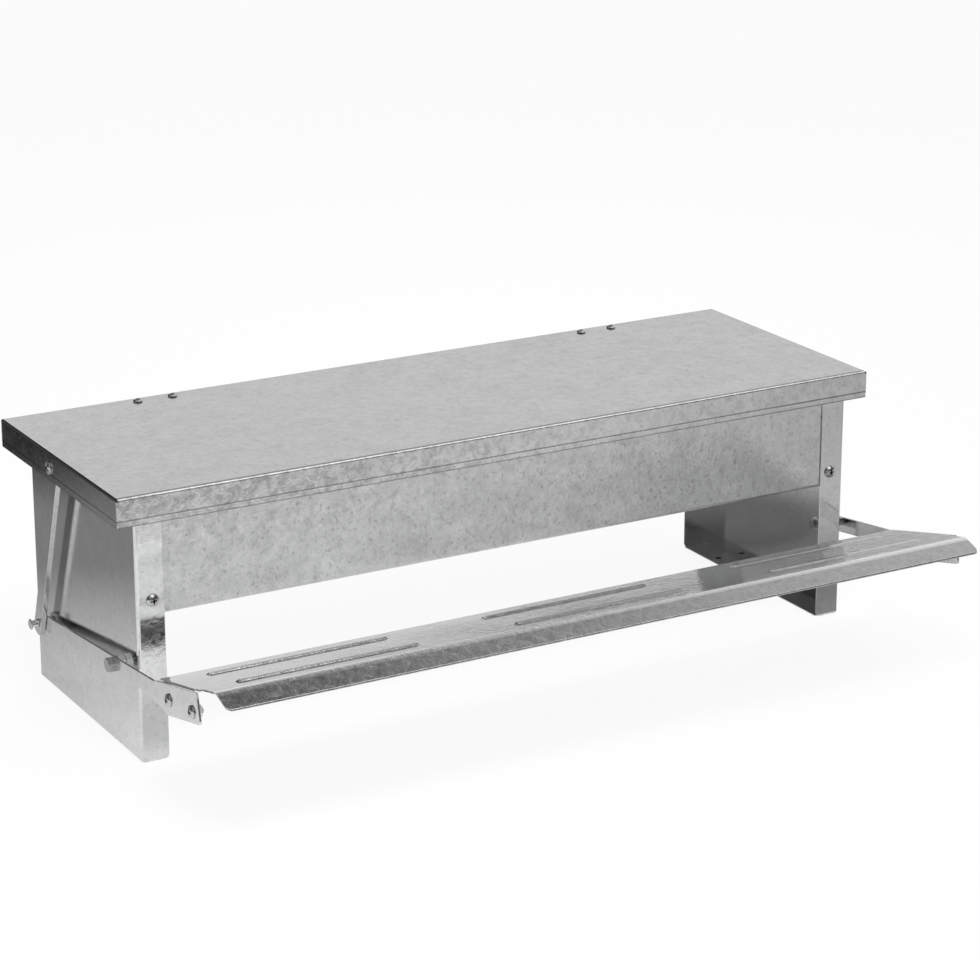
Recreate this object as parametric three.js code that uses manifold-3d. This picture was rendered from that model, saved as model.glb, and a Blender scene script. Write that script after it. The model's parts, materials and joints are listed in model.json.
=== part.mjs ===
import * as THREE from "three";
import { mergeVertices } from "three/addons/utils/BufferGeometryUtils.js";
import Module from "manifold-3d";

// Treadle chicken feeder. A folded steel trough hangs between two side plates, under a lid
// hinged at the rear. A bird on the treadle in front tips two side arms, whose rear ends
// push two links up and lift the lid. Millimetres, +Z up, the front faces -Y.
// Lengthwise positions are measured from the middle, depths from the lid's front edge.

// Lid
const lidLength = 800;
const lidRearOverhang = 23.7;
const lidTop = 253.5;
const lidSheet = 1;
const lidSkirt = 27;
const lidBendRadius = 2;
const hemWidth = 5.6;
const hemStep = 0.4;
const hemStepHeight = 6;
const cornerSlit = 0.4;

// Side plates, bent like trays, that carry everything
const sidePlateInset = 18.5;
const sidePlateFront = 8.7;
const sidePlateDepth = 241.6;
const sidePlateSheet = 1.2;
const sidePlateBendRadius = 3.2;
const flangeWidth = 27;
const flangeCornerRadius = 4.5;
const flangeSlit = 0.8;
const floorHoleRadius = 3.25;
const floorHoleFromWeb = 15.9;
const floorHoleFromRear = 49.5;
const underLidClearance = 0.4;

// Trough
const troughBottom = 137.3;
const troughSheet = 1;
const troughBendRadius = 3;
const troughFrontRim = 241;
const troughLip = 16;
const troughLipDrop = 5;
const troughScrewHeight = 152;
const troughScrewFromWeb = 15.9;

// Treadle
const treadleRearY = -61;
const treadleRearZ = 107.7;
const treadleTilt = THREE.MathUtils.degToRad(13.5);
const treadleDepth = 118;
const treadleSheet = 1.5;
const treadleHalfLength = 390.6;
const treadleLip = 24;
const treadleLipAngle = THREE.MathUtils.degToRad(33);
const treadleLipCornerRadius = 5.5;
const treadleBendRadius = 2.5;
const tabRear = 12;
const tabFront = 90;
const tabDrop = 23;
const tabNotch = { forward: 7, down: 8, foot: 12 };
const beadLength = 176;
const beadPitch = 271;
const beadWidth = 8;
const beadHeight = 1.8;
const beadRows = [27, 88];
const beadsPerRow = 3;

// Side arms: flat bars with a deeper plate in front, splayed out towards the treadle
const armThickness = 2;
const armWidth = 15.5;
const armEndWidth = 28;
const armFront = 94.5;
const armBendRadius = 10;
const armKneeY = -57;
const armSplay = 0.0292;
const armGap = 9.16;
const armScrews = [[28, 15], [80, 19]];

// Linkage points as depth and height, the rear ones measured from the side plates' rear
const pivotY = 41;
const pivotZ = 86;
const armPinFromRear = 29.3;
const armPinZ = 65.2;
const lidPinFromRear = 94.3;
const lidPinZ = 238.4;
const lidSwing = THREE.MathUtils.degToRad(35);

// Links
const linkWidth = 15;
const linkThickness = 4.8;
const linkLowerEnd = 11.5;
const linkEyeWall = 3;
const linkEyeLength = 8;
const linkCornerRadius = 5;
const linkSplay = 0.0113;

// Lid hinges
const hingeFromLidEnd = 152;
const hingeLength = 60;
const hingeLeaf = 1.2;
const hingeLeafWidth = 17;
const hingeKnuckleRadius = 3;
const hingePinRadius = 1.5;
const hingeKnuckles = 5;
const hingeScrewSpacing = 36;
const hingeScrewFromPin = 10;
const wallRivetFromPin = 12;

// Fasteners
const hingeScrew = { radius: 2.5, headRadius: 4.7, headHeight: 2.6 };
const hingeNut = { across: 8, height: 4 };
const frameScrew = { radius: 3, headRadius: 6, headHeight: 3 };
const frameNut = { across: 10, height: 4 };
const screwProud = 1.5;
const spacerNut = { across: 10, height: 3 };
const pivotBolt = { radius: 4, across: 13, headHeight: 5.3, proud: 5 };
const pivotNut = { across: 13, height: 6.5 };
const armPin = { radius: 2.5, headRadius: 5.2, headHeight: 1.2, rivetRadius: 4, rivetHeight: 1.2 };
const rivet = { radius: 2, headRadius: 4, headHeight: 1.2, upsetRadius: 3, upsetHeight: 2 };
const armPinCollar = { length: 6.6, innerRadius: 4, outerRadius: 3.1 };

// Clearances
const seat = 0.2;
const headSeat = 0.25;
const holeClearance = 0.25;
const hingeBoreClearance = 0.15;
const runningGap = 0.35;
const jointBite = 0.1;

// Values worked out from those above
const webOuter = lidLength / 2 - sidePlateInset;
const webInner = webOuter - sidePlateSheet;
const sidePlateRear = sidePlateFront + sidePlateDepth;
const lidDepth = sidePlateRear + lidRearOverhang;
const armPinY = sidePlateRear - armPinFromRear;
const lidPinY = sidePlateRear - lidPinFromRear;
const sidePlateTop = lidTop - lidSheet - underLidClearance;
const skirtBottom = lidTop - lidSkirt;
const troughFrontFace = sidePlateFront + sidePlateSheet + seat;
const troughRearFace = sidePlateRear - sidePlateSheet - seat;
const troughScrewX = webOuter - troughScrewFromWeb;
const hingePinY = troughRearFace + seat + hingeKnuckleRadius;
const hingePinZ = lidTop - lidSheet - seat - hingeKnuckleRadius;
const wallRivetZ = hingePinZ - wallRivetFromPin;
const hingeMiddleX = lidLength / 2 - hingeFromLidEnd;
const armInnerAtPivot = webOuter + armGap;
const armInnerAt = (y) => armInnerAtPivot - armSplay * (y - pivotY);
const armPinInner = armInnerAt(armPinY);
const linkInnerAtPin = armPinInner + armThickness + 2 * runningGap;
const linkInnerAt = (z) => linkInnerAtPin + linkSplay * (z - armPinZ);
const frameFixing = [frameScrew, frameNut];
const hingeFixing = [hingeScrew, hingeNut];
const holeRadius = (radius) => radius + holeClearance;

const wasm = await Module();
wasm.setup();

const galvanised = { color: 0xb4b7b9, roughness: 0.42, metalness: 0.85 };
const brightZinc = { color: 0xc9cccf, roughness: 0.25, metalness: 0.9 };

const feeder = new THREE.Group();
feeder.name = "treadle_feeder";

// Turns a closed geometry into a solid that can be joined and cut
function solid(geometry) {
  const bare = geometry.clone();
  bare.deleteAttribute("normal");
  bare.deleteAttribute("uv");
  const merged = mergeVertices(bare, 1e-4);
  const index = merged.index.array;
  const triangles = [];
  for (let i = 0; i < index.length; i += 3) {
    const [a, b, c] = index.slice(i, i + 3);
    if (a !== b && b !== c && c !== a) triangles.push(a, b, c);
  }
  const vertProperties = new Float32Array(merged.attributes.position.array);
  const triVerts = new Uint32Array(triangles);
  return new wasm.Manifold(new wasm.Mesh({ numProp: 3, vertProperties, triVerts }));
}

function geometryOf(body) {
  const mesh = body.getMesh();
  const geometry = new THREE.BufferGeometry();
  geometry.setAttribute("position", new THREE.BufferAttribute(mesh.vertProperties, 3));
  geometry.setIndex(new THREE.BufferAttribute(mesh.triVerts, 1));
  return geometry;
}

function join(bodies) {
  return bodies.reduce((whole, body) => whole.add(body));
}

function addPiece(name, body, finish) {
  const material = new THREE.MeshStandardMaterial({ ...finish, flatShading: true });
  const mesh = new THREE.Mesh(geometryOf(body), material);
  mesh.name = name;
  feeder.add(mesh);
}

// Samples of a corner at b, rounded to a radius, each with the direction to the path's left
function roundedCorner(a, b, c, radius, steps = 4) {
  const incoming = b.clone().sub(a).normalize();
  const outgoing = c.clone().sub(b).normalize();
  const turn = Math.atan2(incoming.cross(outgoing), incoming.dot(outgoing));
  const reach = radius * Math.tan(Math.abs(turn) / 2);
  const side = Math.sign(turn);
  const left = new THREE.Vector2(-incoming.y, incoming.x);
  const start = b.clone().addScaledVector(incoming, -reach);
  const centre = start.addScaledVector(left, radius * side);
  const samples = [];
  const count = radius > 0 ? steps : 0;
  for (let i = 0; i <= count; i++) {
    const share = count > 0 ? i / count : 0.5;
    const normal = left.clone().rotateAround(new THREE.Vector2(), turn * share);
    samples.push({ at: centre.clone().addScaledVector(normal, -radius * side), left: normal });
  }
  return samples;
}

// A closed outline from corners given as [u, v, radius]
function outline(corners) {
  const points = corners.map(([u, v]) => new THREE.Vector2(u, v));
  const count = points.length;
  const rounded = points.flatMap((point, i) => {
    const before = points[(i + count - 1) % count];
    const after = points[(i + 1) % count];
    return roundedCorner(before, point, after, corners[i][2] ?? 0).map((sample) => sample.at);
  });
  return new THREE.Shape(rounded);
}

// The outline of a sheet bent along a path, whose points run along the middle of the sheet
function bentSheet(path, thickness, radius) {
  const points = path.map(([u, v]) => new THREE.Vector2(u, v));
  const last = points.length - 1;
  const samples = points.flatMap((point, i) => {
    if (i > 0 && i < last) return roundedCorner(points[i - 1], point, points[i + 1], radius);
    const next = i === 0 ? points[1] : point;
    const previous = i === 0 ? point : points[last - 1];
    const along = next.clone().sub(previous).normalize();
    return [{ at: point, left: new THREE.Vector2(-along.y, along.x) }];
  });
  const leftSide = samples.map(({ at, left }) => at.clone().addScaledVector(left, thickness / 2));
  const rightSide = samples.map(({ at, left }) => at.clone().addScaledVector(left, -thickness / 2));
  return new THREE.Shape([...rightSide, ...leftSide.reverse()]);
}

const axisX = new THREE.Vector3(1, 0, 0);
const axisY = new THREE.Vector3(0, 1, 0);
const axisZ = new THREE.Vector3(0, 0, 1);
const drawnInYZ = new THREE.Matrix4().makeBasis(axisY, axisZ, axisX);
const drawnInXZ = new THREE.Matrix4().makeBasis(axisX, axisZ, axisY.clone().negate());
const drawnInXY = new THREE.Matrix4();

function prism(shape, from, to, plane) {
  const geometry = new THREE.ExtrudeGeometry(shape, { depth: to - from, bevelEnabled: false });
  geometry.translate(0, 0, from);
  geometry.applyMatrix4(plane);
  return geometry;
}

// Prisms of an outline drawn square to each axis, between two places along it
function prismX(shape, x0, x1) {
  return solid(prism(shape, Math.min(x0, x1), Math.max(x0, x1), drawnInYZ));
}

function prismY(shape, y0, y1) {
  return solid(prism(shape, -y1, -y0, drawnInXZ));
}

function prismZ(shape, z0, z1) {
  return solid(prism(shape, z0, z1, drawnInXY));
}

function box(x0, x1, y0, y1, z0, z1) {
  const geometry = new THREE.BoxGeometry(Math.abs(x1 - x0), y1 - y0, z1 - z0);
  geometry.translate((x0 + x1) / 2, (y0 + y1) / 2, (z0 + z1) / 2);
  return solid(geometry);
}

// Facets round the smallest hidden rounds
const smallRound = 12;

// A shape of revolution whose axis starts at a point and runs along a direction
function revolve(profile, start, direction, segments = 16) {
  const points = profile.map(([radius, along]) => new THREE.Vector2(radius, along));
  const geometry = new THREE.LatheGeometry(points, segments);
  geometry.applyQuaternion(new THREE.Quaternion().setFromUnitVectors(axisY, direction));
  geometry.translate(start.x, start.y, start.z);
  return solid(geometry);
}

function rod(start, direction, length, radius, segments) {
  return revolve([[0, 0], [radius, 0], [radius, length], [0, length]], start, direction, segments);
}

// A drill right through, both ways from a point
function drill(point, direction, radius, reach = 12) {
  const start = point.clone().addScaledVector(direction, -reach);
  return rod(start, direction, 2 * reach, radius);
}

// A screw with a domed head that seats at a point; the shank runs against the direction
function domedScrew(point, direction, length, { radius, headRadius, headHeight }) {
  const rim = headHeight * 0.4;
  const dome = [0.35, 0.7].map((share) => {
    const angle = share * Math.PI / 2;
    return [headRadius * Math.cos(angle), rim + (headHeight - rim) * Math.sin(angle)];
  });
  const shank = [[0, -length], [radius, -length], [radius, 0]];
  const head = [[headRadius, 0], [headRadius, rim], ...dome, [0, headHeight]];
  return revolve([...shank, ...head], point, direction);
}

// A six-sided block with its edges turned off at one end, and flats square to the roll
function hexBlock(point, direction, across, height, roll = 0) {
  const corners = [];
  for (let i = 0; i < 6; i++) {
    const angle = roll + (i + 0.5) * Math.PI / 3;
    const radius = across / Math.sqrt(3);
    corners.push(new THREE.Vector2(radius * Math.cos(angle), radius * Math.sin(angle)));
  }
  const shape = new THREE.Shape(corners);
  const geometry = new THREE.ExtrudeGeometry(shape, { depth: height, bevelEnabled: false });
  geometry.applyQuaternion(new THREE.Quaternion().setFromUnitVectors(axisZ, direction));
  geometry.translate(point.x, point.y, point.z);
  const wide = across * 0.62;
  const chamfer = across * 0.08;
  const turned = [[0, -1], [wide, -1], [wide, height - chamfer], [across * 0.47, height], [0, height]];
  return solid(geometry).intersect(revolve(turned, point, direction));
}

function nut(point, direction, { across, height }, screwRadius, roll = 0) {
  const block = hexBlock(point, direction, across, height, roll);
  return block.subtract(drill(point, direction, holeRadius(screwRadius)));
}

const pointAt = (x, y, z) => new THREE.Vector3(x, y, z);
const outwards = (side) => axisX.clone().multiplyScalar(side);
const down = axisZ.clone().negate();
const sides = [["left", -1], ["right", 1]];

// Slides a piece outwards in proportion to its depth and height, as a splay does
function splayed(body, side, perDepth, perHeight, atOrigin) {
  const slide = new THREE.Matrix4().set(
    1, side * perDepth, side * perHeight, side * atOrigin,
    0, 1, 0, 0,
    0, 0, 1, 0,
    0, 0, 0, 1,
  );
  return solid(geometryOf(body).applyMatrix4(slide));
}

// Linkage, closed at rest: how far the treadle and links turn when the lid is open
const pivot = new THREE.Vector2(pivotY, pivotZ);
const armPinAtRest = new THREE.Vector2(armPinY, armPinZ);
const lidPinAtRest = new THREE.Vector2(lidPinY, lidPinZ);
const hingePin = new THREE.Vector2(hingePinY, hingePinZ);
const linkReach = armPinAtRest.distanceTo(lidPinAtRest);

const armPinAt = (treadleAngle) => armPinAtRest.clone().rotateAround(pivot, treadleAngle);
const lidPinAt = (lidAngle) => lidPinAtRest.clone().rotateAround(hingePin, -lidAngle);

function treadleSwingFor(lidAngle) {
  let low = 0;
  let high = lidAngle;
  for (let i = 0; i < 50; i++) {
    const middle = (low + high) / 2;
    if (armPinAt(middle).distanceTo(lidPinAt(lidAngle)) > linkReach) low = middle;
    else high = middle;
  }
  return low;
}

const treadleSwing = treadleSwingFor(lidSwing);
const linkAngle = (armPoint, lidPoint) => lidPoint.clone().sub(armPoint).angle();
const restAngle = linkAngle(armPinAtRest, lidPinAtRest);
const openAngle = linkAngle(armPinAt(treadleSwing), lidPinAt(lidSwing));
const linkSwing = openAngle - restAngle;

// Where the lid's screw stands in the resting link's place when the lid is half open
function lidPinInLink(share) {
  const armPoint = armPinAt(treadleSwing * share);
  const lidPoint = lidPinAt(lidSwing * share);
  const offset = lidPoint.sub(armPoint).rotateAround(new THREE.Vector2(), -linkSwing * share);
  return offset.add(armPinAtRest);
}

const slotEnd = lidPinInLink(0.5);

function roundSlot(a, b, radius) {
  const along = b.clone().sub(a).angle();
  const slot = new THREE.Path();
  slot.absarc(b.x, b.y, radius, along - Math.PI / 2, along + Math.PI / 2, false);
  slot.absarc(a.x, a.y, radius, along + Math.PI / 2, along + 1.5 * Math.PI, false);
  slot.closePath();
  return slot;
}

// Side plate: outer web with front, rear and bottom flanges bent inwards
function sidePlate(side) {
  const outer = side * webOuter;
  const inner = side * webInner;
  const free = side * (webOuter - flangeWidth);
  const bottomEdge = sidePlateSheet;
  const web = prismX(outline([
    [sidePlateFront, 0], [sidePlateRear, 0], [sidePlateRear, sidePlateTop], [sidePlateFront, sidePlateTop],
  ]), inner, outer);
  const flangeShape = outline([
    [outer, 0], [outer, sidePlateTop], [free, sidePlateTop], [free, 0, flangeCornerRadius],
  ]);
  const front = prismY(flangeShape, sidePlateFront, sidePlateFront + sidePlateSheet);
  const rear = prismY(flangeShape, sidePlateRear - sidePlateSheet, sidePlateRear);
  const slitFront = sidePlateFront + sidePlateSheet + flangeSlit;
  const slitRear = sidePlateRear - sidePlateSheet - flangeSlit;
  const bottom = box(outer, free, slitFront, slitRear, 0, bottomEdge);
  const bendRadius = sidePlateBendRadius;
  const plan = outline([
    [outer, sidePlateFront, bendRadius], [outer, sidePlateRear, bendRadius],
    [free, sidePlateRear], [free, sidePlateFront],
  ]);
  const elevation = outline([
    [outer, 0, bendRadius], [outer, sidePlateTop], [free, sidePlateTop], [free, 0],
  ]);
  const envelope = prismZ(plan, 0, sidePlateTop).intersect(
    prismY(elevation, sidePlateFront, sidePlateRear));
  const screwHole = holeRadius(frameScrew.radius);
  const holeX = side * (webOuter - floorHoleFromWeb);
  const drills = [
    drill(pointAt(outer, pivotY, pivotZ), axisX, holeRadius(pivotBolt.radius)),
    drill(pointAt(side * troughScrewX, sidePlateFront, troughScrewHeight), axisY, screwHole),
    drill(pointAt(side * troughScrewX, sidePlateRear, troughScrewHeight), axisY, screwHole),
    drill(pointAt(holeX, sidePlateRear - floorHoleFromRear, 0), axisZ, floorHoleRadius),
  ];
  return join([web, front, rear, bottom]).intersect(envelope).subtract(join(drills));
}

// Trough: one sheet folded into a channel, with a lip turned in along the front rim
function trough() {
  const half = troughSheet / 2;
  const frontWall = troughFrontFace + half;
  const rearWall = troughRearFace - half;
  const floor = troughBottom + half;
  const channel = prismX(bentSheet([
    [frontWall + troughLip, troughFrontRim - troughLipDrop], [frontWall, troughFrontRim],
    [frontWall, floor], [rearWall, floor], [rearWall, sidePlateTop],
  ], troughSheet, troughBendRadius), -(webInner - seat), webInner - seat);
  const screwHole = holeRadius(frameScrew.radius);
  const drills = sides.flatMap(([, side]) => [
    drill(pointAt(side * troughScrewX, troughFrontFace, troughScrewHeight), axisY, screwHole),
    drill(pointAt(side * troughScrewX, troughRearFace, troughScrewHeight), axisY, screwHole),
    ...hingeScrewPlaces(side).map((x) =>
      drill(pointAt(x, troughRearFace, wallRivetZ), axisY, holeRadius(rivet.radius))),
  ]);
  return channel.subtract(join(drills));
}

function hingeScrewPlaces(side) {
  const middle = side * hingeMiddleX;
  return [middle - hingeScrewSpacing / 2, middle + hingeScrewSpacing / 2];
}

// Lid: folded down on all four sides, slit at the corners, the edges hemmed inside
function lid() {
  const half = lidSheet / 2;
  const end = lidLength / 2;
  const top = lidTop - half;
  const stepTop = skirtBottom + hemStepHeight;
  const stepFoot = stepTop - 2 * hemStep;
  const front = half + hemStep;
  const rear = lidDepth - half;
  const lengthwise = prismX(bentSheet([
    [front, skirtBottom], [front, stepFoot], [half, stepTop], [half, top], [rear, top],
    [rear, stepTop], [rear - hemStep, stepFoot], [rear - hemStep, skirtBottom],
  ], lidSheet, lidBendRadius - half), -end, end);
  const hemInner = hemStep + 2 * lidSheet;
  const hemTop = skirtBottom + hemWidth;
  const frontHem = box(-end, end, lidSheet - jointBite, hemInner, skirtBottom, hemTop);
  const rearHem = box(-end, end, lidDepth - hemInner, lidDepth - lidSheet + jointBite, skirtBottom, hemTop);
  const sideFrom = lidSheet + cornerSlit;
  const sideTo = lidDepth - lidSheet - cornerSlit;
  const sideSkirts = sides.flatMap(([, side]) => [
    box(side * (end - lidSheet), side * end, sideFrom, sideTo, skirtBottom, lidTop),
    box(side * (end - 2 * lidSheet), side * (end - half), hemInner + cornerSlit,
      lidDepth - hemInner - cornerSlit, skirtBottom, hemTop),
  ]);
  const elevation = outline([
    [-end, skirtBottom], [end, skirtBottom], [end, lidTop, lidBendRadius], [-end, lidTop, lidBendRadius],
  ]);
  const envelope = prismY(elevation, 0, lidDepth);
  const drills = sides.flatMap(([, side]) => [
    drill(pointAt(side * end, lidPinY, lidPinZ), axisX, holeRadius(frameScrew.radius)),
    ...hingeScrewPlaces(side).map((x) =>
      drill(pointAt(x, hingePinY + hingeScrewFromPin, lidTop), axisZ, holeRadius(hingeScrew.radius))),
  ]);
  return join([lengthwise, frontHem, rearHem, ...sideSkirts]).intersect(envelope).subtract(join(drills));
}

// One hinge leaf lying flat behind its pin, which is at the origin, before it is put in place.
// The knuckles alternate along the pin; the fixed leaf has the outer ones.
function hingeLeafBody(first, screwFromPin) {
  const radius = hingeKnuckleRadius;
  const neck = radius + 0.5;
  const end = hingeLength / 2;
  const pitch = hingeLength / hingeKnuckles;
  const pieces = [box(-end, end, neck, hingeLeafWidth, radius - hingeLeaf, radius)];
  for (let i = first; i < hingeKnuckles; i += 2) {
    const x0 = -end + i * pitch + (i > 0 ? seat / 2 : 0);
    const x1 = -end + (i + 1) * pitch - (i < hingeKnuckles - 1 ? seat / 2 : 0);
    pieces.push(rod(pointAt(x0, 0, 0), axisX, x1 - x0, radius, smallRound));
    pieces.push(box(x0, x1, 0, neck, radius - hingeLeaf, radius));
  }
  const boreRadius = hingePinRadius + hingeBoreClearance;
  const bore = rod(pointAt(-end - 1, 0, 0), axisX, hingeLength + 2, boreRadius, smallRound);
  const drills = [-1, 1].map((way) => drill(
    pointAt(way * hingeScrewSpacing / 2, screwFromPin, radius), axisZ, holeRadius(hingeScrew.radius)));
  return join(pieces).subtract(bore).subtract(join(drills));
}

// The moving leaf lies under the lid; the fixed one hangs down the trough's rear wall
const lyingLeaf = new THREE.Matrix4();
const hangingLeaf = new THREE.Matrix4().makeBasis(axisX.clone().negate(), down, axisY.clone().negate());

function placedLeaf(body, x, turn) {
  const place = new THREE.Matrix4().makeTranslation(x, hingePinY, hingePinZ).multiply(turn);
  return solid(geometryOf(body).applyMatrix4(place));
}

// Treadle, drawn flat from its rear edge: y runs to the front along the plate, z is its normal
const treadleFrame = new THREE.Matrix4()
  .makeTranslation(0, treadleRearY, treadleRearZ)
  .multiply(new THREE.Matrix4().makeRotationX(-treadleTilt))
  .multiply(new THREE.Matrix4().makeScale(1, -1, 1));

const onTreadle = (forward, above) => new THREE.Vector3(0, forward, above).applyMatrix4(treadleFrame);

// Puts a body drawn in the treadle's own directions into place; the mirror keeps faces outwards
function placedOnTreadle(body) {
  const geometry = geometryOf(body).applyMatrix4(treadleFrame);
  const index = geometry.index.array;
  for (let i = 0; i < index.length; i += 3) {
    [index[i + 1], index[i + 2]] = [index[i + 2], index[i + 1]];
  }
  return solid(geometry);
}

function treadlePlate() {
  const half = treadleSheet / 2;
  const lipForward = treadleDepth + treadleLip * Math.cos(treadleLipAngle);
  const lipDrop = treadleLip * Math.sin(treadleLipAngle);
  const sheet = prismX(bentSheet([
    [0, -half], [treadleDepth, -half], [lipForward, -half - lipDrop],
  ], treadleSheet, treadleBendRadius), -lidLength / 2, lidLength / 2);
  const tabOuterAt = (forward) =>
    armInnerAt(onTreadle(forward, 0).y) - runningGap;
  const foldAt = (forward) => tabOuterAt(forward) - treadleBendRadius;
  const lipEdge = lipForward - half * Math.sin(treadleLipAngle);
  const halfPlan = [
    [foldAt(0), 0], [foldAt(tabFront), tabFront], [treadleHalfLength, tabFront + 1],
    [treadleHalfLength, lipEdge, treadleLipCornerRadius],
  ];
  const otherHalf = halfPlan.map(([x, y, radius]) => [-x, y, radius]).reverse();
  const plan = prismZ(outline([...halfPlan, ...otherHalf]), -2 * treadleLip, treadleSheet);
  const plate = beaded(sheet.intersect(plan));
  return placedOnTreadle(join([plate, ...sides.map(([, side]) => endTab(side))]));
}

// Beads pressed up out of the plate: hollow below, rounded above and at their ends
function beaded(plate) {
  const radius = (beadWidth ** 2 / 4 + beadHeight ** 2) / (2 * beadHeight);
  const straight = beadLength - beadWidth;
  const bead = (across, x, forward) => {
    const geometry = new THREE.CapsuleGeometry(across, straight, 4, 18);
    geometry.rotateZ(Math.PI / 2);
    geometry.translate(x, forward, beadHeight - radius);
    return solid(geometry);
  };
  const above = box(-lidLength, lidLength, 0, treadleDepth, -treadleSheet / 2, 2 * radius);
  const places = beadRows.flatMap((forward) =>
    Array.from({ length: beadsPerRow }, (_, i) => [(i - (beadsPerRow - 1) / 2) * beadPitch, forward]));
  const raised = join(places.map(([x, forward]) => bead(radius, x, forward))).intersect(above);
  const hollows = join(places.map(([x, forward]) => bead(radius - treadleSheet, x, forward)));
  return plate.add(raised).subtract(hollows);
}

// The tab folded down at each end of the treadle, to which the arm is screwed
function endTab(side) {
  const half = treadleSheet / 2;
  const overlap = 4;
  const notchRear = tabFront - tabNotch.forward;
  const outerFace = armInnerAtPivot - runningGap;
  const foldFrom = outerFace - treadleBendRadius - overlap;
  const fold = prismY(bentSheet([
    [side * foldFrom, -half], [side * (outerFace - half), -half], [side * (outerFace - half), -2 * tabDrop],
  ], treadleSheet, treadleBendRadius - half), 0, tabFront + overlap);
  const shape = outline([
    [tabRear, half], [notchRear, half], [notchRear, -tabNotch.down], [tabFront, -tabNotch.foot, 3],
    [tabFront, -tabDrop, 7], [tabRear, -tabDrop, 8],
  ]);
  const tab = fold.intersect(prismX(shape, side * foldFrom, side * (outerFace + 1)));
  const drills = armScrews.map(([forward, below]) =>
    drill(pointAt(side * outerFace, forward, -below), axisX, holeRadius(frameScrew.radius)));
  const perDepth = armSplay * Math.cos(treadleTilt);
  const perHeight = -armSplay * Math.sin(treadleTilt);
  const atRearEdge = armSplay * (pivotY - treadleRearY);
  return splayed(tab.subtract(join(drills)), side, perDepth, perHeight, atRearEdge);
}

function armScrewPoints() {
  return armScrews.map(([forward, below]) => onTreadle(forward, -below));
}

// Side arm: a bar from the rear pin through the pivot, widened to a plate at the treadle
function arm(side) {
  const rearPin = armPinAtRest;
  const alongBar = pivot.clone().sub(rearPin).normalize();
  const upOfBar = new THREE.Vector2(-alongBar.y, alongBar.x).negate();
  const halfWidth = armWidth / 2;
  const kneeReach = (armKneeY - rearPin.x) / alongBar.x;
  const onBar = (forward, above) => {
    const point = rearPin.clone().addScaledVector(alongBar, forward).addScaledVector(upOfBar, above);
    return [point.x, point.y];
  };
  const onPlate = (forward, above) => {
    const point = onTreadle(forward, above);
    return [point.y, point.z];
  };
  const topGap = -0.8;
  const round = halfWidth - jointBite;
  const shape = outline([
    [...onBar(-halfWidth, halfWidth), round], [...onBar(-halfWidth, -halfWidth), round],
    [...onBar(kneeReach - 12, -halfWidth), armBendRadius], [...onPlate(22, topGap - armEndWidth), 8],
    [...onPlate(armFront, topGap - armEndWidth), 3], onPlate(armFront, topGap),
    [...onPlate(2, topGap), 0], [...onBar(kneeReach + 1, halfWidth), armBendRadius],
  ]);
  const inner = armInnerAtPivot;
  const bar = prismX(shape, side * inner, side * (inner + armThickness));
  const drills = [
    drill(pointAt(side * inner, pivotY, pivotZ), axisX, holeRadius(pivotBolt.radius)),
    drill(pointAt(side * inner, armPinY, armPinZ), axisX, holeRadius(armPin.radius)),
    ...armScrewPoints().map(({ y, z }) =>
      drill(pointAt(side * inner, y, z), axisX, holeRadius(frameScrew.radius))),
  ];
  return splayed(bar.subtract(join(drills)), side, -armSplay, 0, armSplay * pivotY);
}

// Link: a bar from the arm's rear pin up to the slot that holds the lid's screw. The bar is
// widened towards the front round the slot.
function link(side) {
  const along = lidPinAtRest.clone().sub(armPinAtRest).normalize();
  const across = new THREE.Vector2(-along.y, along.x);
  const slotRadius = holeRadius(frameScrew.radius);
  const margin = slotRadius + linkEyeWall;
  const slotTravel = slotEnd.clone().sub(lidPinAtRest);
  const top = linkReach + slotTravel.dot(along) + margin;
  const half = linkWidth / 2;
  const front = slotTravel.dot(across) + margin;
  const eyeFrom = linkReach - linkEyeLength;
  const corner = (forward, sideways, radius) => {
    const point = armPinAtRest.clone().addScaledVector(along, forward).addScaledVector(across, sideways);
    return [point.x, point.y, radius];
  };
  const shape = outline([
    corner(-linkLowerEnd, -half, linkCornerRadius), corner(top, -half, linkCornerRadius),
    corner(top, front, linkCornerRadius), corner(eyeFrom, front, 3), corner(eyeFrom - 4, half, 3),
    corner(-linkLowerEnd, half, linkCornerRadius),
  ]);
  shape.holes.push(roundSlot(lidPinAtRest, slotEnd, slotRadius));
  const inner = linkInnerAtPin;
  const bar = prismX(shape, side * inner, side * (inner + linkThickness));
  const pinHole = drill(pointAt(side * inner, armPinY, armPinZ), axisX, holeRadius(armPin.radius));
  return splayed(bar.subtract(pinHole), side, 0, linkSplay, -linkSplay * armPinZ);
}

// Pin riveted in the arm's rear end, that carries the link and keeps it on with its head
function linkPin(side) {
  const { radius, headRadius, headHeight, rivetRadius, rivetHeight } = armPin;
  const { length, innerRadius, outerRadius } = armPinCollar;
  const start = armPinInner - seat - rivetHeight;
  const collarFrom = linkInnerAtPin + linkThickness + runningGap - start;
  const collarTo = collarFrom + length;
  const head = collarTo + headHeight;
  return revolve([
    [0, 0], [rivetRadius, 0], [rivetRadius, rivetHeight], [radius, rivetHeight],
    [radius, collarFrom], [innerRadius, collarFrom], [outerRadius, collarTo], [headRadius, collarTo],
    [headRadius, head - headHeight / 2], [headRadius - 1, head], [0, head],
  ], pointAt(side * start, armPinY, armPinZ), outwards(side));
}

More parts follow.
